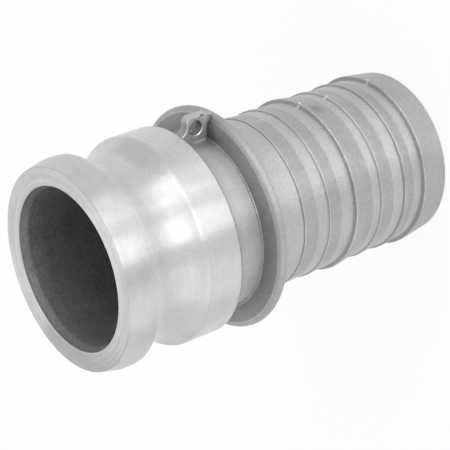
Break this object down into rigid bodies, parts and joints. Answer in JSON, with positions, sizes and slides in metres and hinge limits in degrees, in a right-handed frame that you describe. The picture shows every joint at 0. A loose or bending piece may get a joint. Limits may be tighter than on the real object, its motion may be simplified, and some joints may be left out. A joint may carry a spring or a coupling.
{
  "type": "cam and groove hose adapter",
  "caption": "Male cam and groove adapter: a grooved head that a coupler's cam arms lock, a flange that stops the hose, a barbed hose shank and a small drilled lug.",
  "frame": {"origin": "middle of the tail end of the hose shank, on the waterway's axis, where the adapter stands upright", "axes": "+Z along the waterway's axis from the tail end up to the nose face; +X from the axis towards the lug; +Y along the axis of the lug's hole"},
  "size_m": [0.083, 0.0822, 0.148],
  "materials": {
    "adapter": "as cast, with the head, groove and collar turned bright"
  },
  "bodies": {
    "root": {"adapter": "adapter"}
  },
  "joints": []
}
